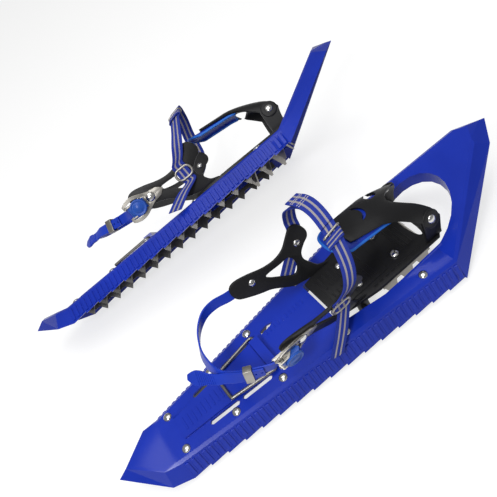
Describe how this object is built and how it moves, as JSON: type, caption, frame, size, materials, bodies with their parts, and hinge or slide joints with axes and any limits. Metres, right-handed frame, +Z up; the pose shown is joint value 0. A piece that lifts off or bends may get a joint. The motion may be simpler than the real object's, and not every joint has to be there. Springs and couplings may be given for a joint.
{
  "type": "pair of snowshoes",
  "caption": "Moulded plastic snowshoes with stepped skirts, steel traction rails, pivoting toe bindings with claws, ratchet heel straps, webbing and wire heel lifts.",
  "frame": {"origin": "On the ground under the middle of the pair's box.", "axes": "+Z up, +Y toward the noses, +X toward the right-hand side of the shoe that lies flat."},
  "size_m": [0.53, 0.716, 0.2099],
  "materials": {
    "deck_blue": "moulded blue polypropylene, satin gloss",
    "binding_black": "moulded black plastic, fine grain",
    "steel": "plain steel, dull",
    "strap_blue": "flexible blue polyurethane",
    "webbing": "blue woven webbing with two light stripes"
  },
  "bodies": {
    "front_shoe": {"front_deck": "deck_blue", "front_traction_rail_left": "steel", "front_traction_rail_right": "steel", "front_pivot_axle": "steel"},
    "front_bail": {"front_heel_lift_bail": "steel"},
    "front_binding": {"front_binding_plate": "binding_black", "front_toe_crampon": "steel", "front_plate_rivet_left": "steel", "front_plate_rivet_right": "steel", "front_toe_cradle": "binding_black", "front_toe_liner": "strap_blue", "front_toe_rivet_left": "steel", "front_toe_rivet_right": "steel", "front_heel_wing_left": "binding_black", "front_heel_wing_right": "binding_black", "front_wing_rivet_front": "steel", "front_wing_rivet_rear": "steel", "front_heel_strap": "strap_blue", "front_pull_tab": "strap_blue", "front_strap_keeper": "steel", "front_buckle_frame": "steel", "front_buckle_rivet": "steel", "front_buckle_pin": "steel", "front_wire_ring": "steel", "front_strap_slider": "steel", "front_instep_strap": "webbing", "front_strap_tail": "webbing"},
    "front_lever": {"front_buckle_lever": "strap_blue"},
    "rear_shoe": {"rear_deck": "deck_blue", "rear_traction_rail_left": "steel", "rear_traction_rail_right": "steel", "rear_pivot_axle": "steel"},
    "rear_bail": {"rear_heel_lift_bail": "steel"},
    "rear_binding": {"rear_binding_plate": "binding_black", "rear_toe_crampon": "steel", "rear_plate_rivet_left": "steel", "rear_plate_rivet_right": "steel", "rear_toe_cradle": "binding_black", "rear_toe_liner": "strap_blue", "rear_toe_rivet_left": "steel", "rear_toe_rivet_right": "steel", "rear_heel_wing_left": "binding_black", "rear_heel_wing_right": "binding_black", "rear_wing_rivet_front": "steel", "rear_wing_rivet_rear": "steel", "rear_heel_strap": "strap_blue", "rear_pull_tab": "strap_blue", "rear_strap_keeper": "steel", "rear_buckle_frame": "steel", "rear_buckle_rivet": "steel", "rear_buckle_pin": "steel", "rear_wire_ring": "steel", "rear_strap_slider": "steel", "rear_instep_strap": "webbing", "rear_strap_tail": "webbing"},
    "rear_lever": {"rear_buckle_lever": "strap_blue"}
  },
  "joints": [
    {"name": "front_binding_pivot", "type": "hinge", "parent": "front_shoe", "child": "front_binding", "pos_m": [0.157, 0.06717, 0.026], "axis": [-1, 0, 0], "range_deg": [0, 55]},
    {"name": "front_heel_lift", "type": "hinge", "parent": "front_shoe", "child": "front_bail", "pos_m": [0.157, -0.08083, 0.044], "axis": [-1, 0, 0], "range_deg": [0, 100]},
    {"name": "front_buckle_lever", "type": "hinge", "parent": "front_binding", "child": "front_lever", "pos_m": [0.22243, -0.06883, 0.08739], "axis": [-0.2425, 0, -0.9701], "range_deg": [0, 75]},
    {"name": "rear_binding_pivot", "type": "hinge", "parent": "rear_shoe", "child": "rear_binding", "pos_m": [-0.12151, 0.04715, 0.07923], "axis": [-0.6826, 0.1527, -0.7146], "range_deg": [0, 55]},
    {"name": "rear_heel_lift", "type": "hinge", "parent": "rear_shoe", "child": "rear_bail", "pos_m": [-0.15439, -0.09828, 0.07956], "axis": [-0.6826, 0.1527, -0.7146], "range_deg": [0, 100]},
    {"name": "rear_buckle_lever", "type": "hinge", "parent": "rear_binding", "child": "rear_lever", "pos_m": [-0.13927, -0.09468, 0.15745], "axis": [0.5312, -0.0019, -0.8472], "range_deg": [0, 75]},
    {"name": "rear_shoe_lift", "type": "slide", "parent": "front_shoe", "child": "rear_shoe", "axis": [0, 0, 1], "range_m": [0, 0.25]}
  ]
}
